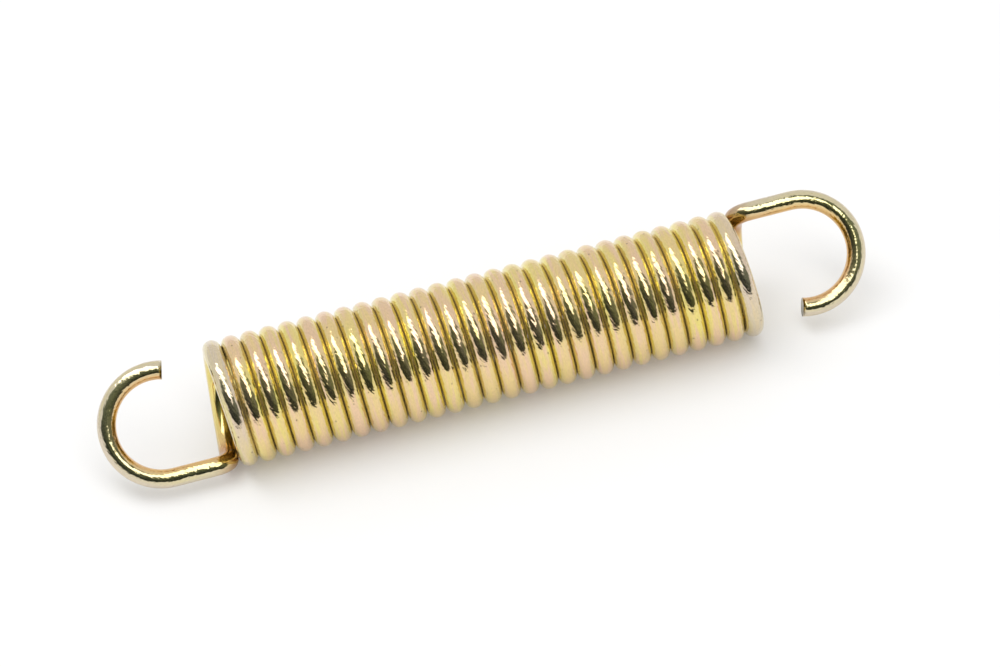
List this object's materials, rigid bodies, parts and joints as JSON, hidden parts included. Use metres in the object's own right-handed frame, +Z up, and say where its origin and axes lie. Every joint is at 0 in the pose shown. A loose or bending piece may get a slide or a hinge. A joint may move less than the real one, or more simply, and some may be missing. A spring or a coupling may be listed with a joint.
{
  "type": "extension spring",
  "caption": "Close-wound helical extension spring of round wire, with an open side hook at each end, the hooks opening opposite ways.",
  "frame": {"origin": "centre of the bounding box at its base, under the middle of the coil, where the spring rests on its side", "axes": "+X along the spring's axis, +Z up, -Y on the side towards which the faces of both hooks look up"},
  "size_m": [0.133, 0.022, 0.022],
  "materials": {
    "plated_wire": "drawn steel wire with glossy yellow-passivated zinc plating"
  },
  "bodies": {
    "root": {"spring_wire": "plated_wire"}
  },
  "joints": []
}
